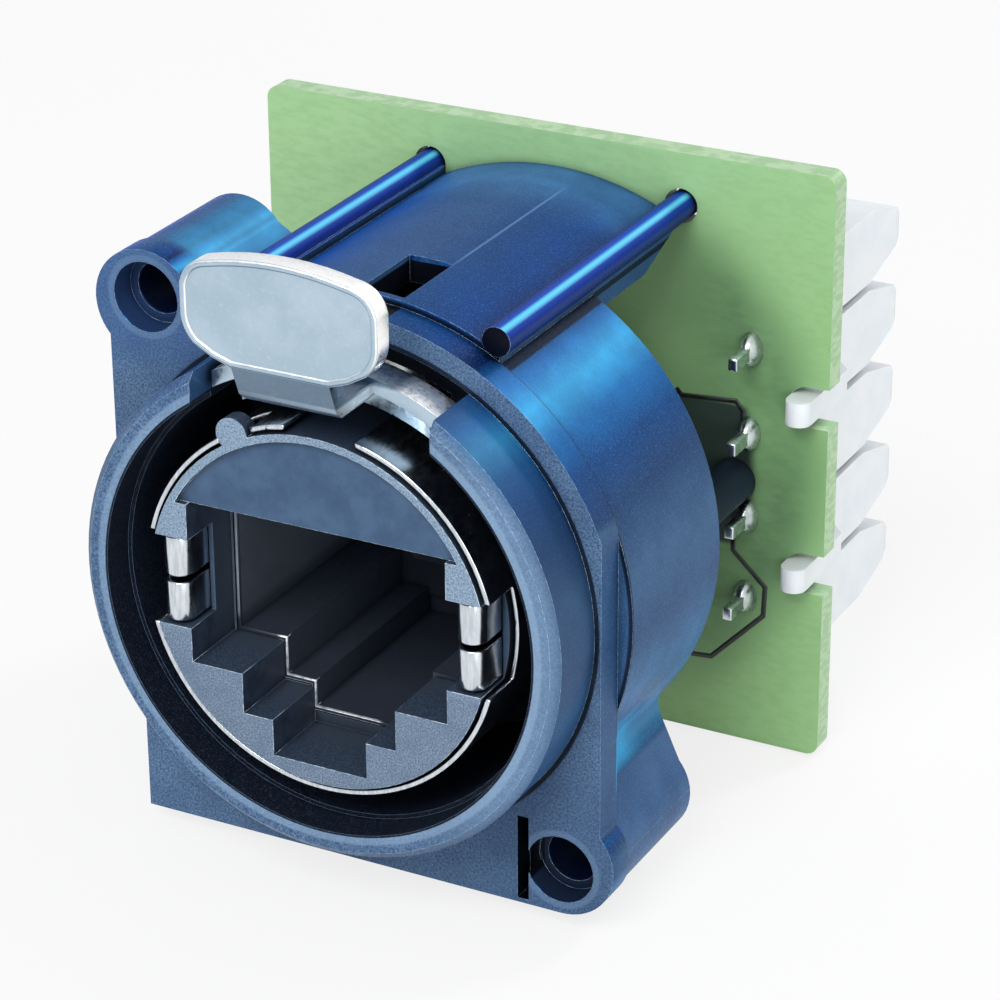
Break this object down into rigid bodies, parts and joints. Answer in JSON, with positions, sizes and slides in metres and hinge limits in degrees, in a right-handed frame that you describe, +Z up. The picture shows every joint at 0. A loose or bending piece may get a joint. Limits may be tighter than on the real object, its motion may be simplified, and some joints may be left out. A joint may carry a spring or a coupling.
{
  "type": "ethernet panel connector",
  "caption": "Square-flanged round panel socket for a locking network plug, with a latch lever, a modular jack insert and a rear circuit board with wire terminal blocks.",
  "frame": {"origin": "on the axis of the round body, in the front face of the mounting flange (the panel plane)", "axes": "-Y points out of the socket towards the plug, +Z is up towards the latch lever, +X is to the right seen from the front"},
  "size_m": [0.0289, 0.0365, 0.0309],
  "materials": {
    "housing_plastic": "grained dark moulding",
    "insert_plastic": "satin dark moulding",
    "lever_metal": "satin nickel on cast metal",
    "pin_steel": "drawn steel",
    "spring_steel": "drawn wire",
    "shield_metal": "tinned sheet",
    "contact_gold": "plated wire",
    "board_laminate": "solder mask on glass laminate",
    "terminal_plastic": "natural nylon",
    "terminal_metal": "tinned bronze",
    "solder": "bright solder"
  },
  "bodies": {
    "body": {"housing": "housing_plastic", "pivot_pin": "pin_steel", "return_spring": "spring_steel", "jack_insert": "insert_plastic", "shield_sleeve": "shield_metal", "ground_clip_left": "shield_metal", "ground_clip_right": "shield_metal", "jack_shield": "shield_metal", "rear_carrier": "insert_plastic", "contact_wire_1": "contact_gold", "contact_wire_2": "contact_gold", "contact_wire_3": "contact_gold", "contact_wire_4": "contact_gold", "contact_wire_5": "contact_gold", "contact_wire_6": "contact_gold", "contact_wire_7": "contact_gold", "contact_wire_8": "contact_gold", "circuit_board": "board_laminate", "terminal_block_left": "terminal_plastic", "terminal_block_right": "terminal_plastic", "terminal_contact_left_1": "terminal_metal", "terminal_contact_left_2": "terminal_metal", "terminal_contact_left_3": "terminal_metal", "terminal_contact_left_4": "terminal_metal", "terminal_contact_right_1": "terminal_metal", "terminal_contact_right_2": "terminal_metal", "terminal_contact_right_3": "terminal_metal", "terminal_contact_right_4": "terminal_metal", "solder_joints": "solder"},
    "lever": {"latch_lever": "lever_metal"}
  },
  "joints": [
    {"name": "latch_press", "type": "hinge", "parent": "body", "child": "lever", "pos_m": [0, 0.006, 0.01], "axis": [-1, 0, 0], "range_deg": [0, 5.5], "stiffness_Nm_per_rad": 0.005, "springref_deg": -57.3, "deforming": ["return_spring"]}
  ]
}
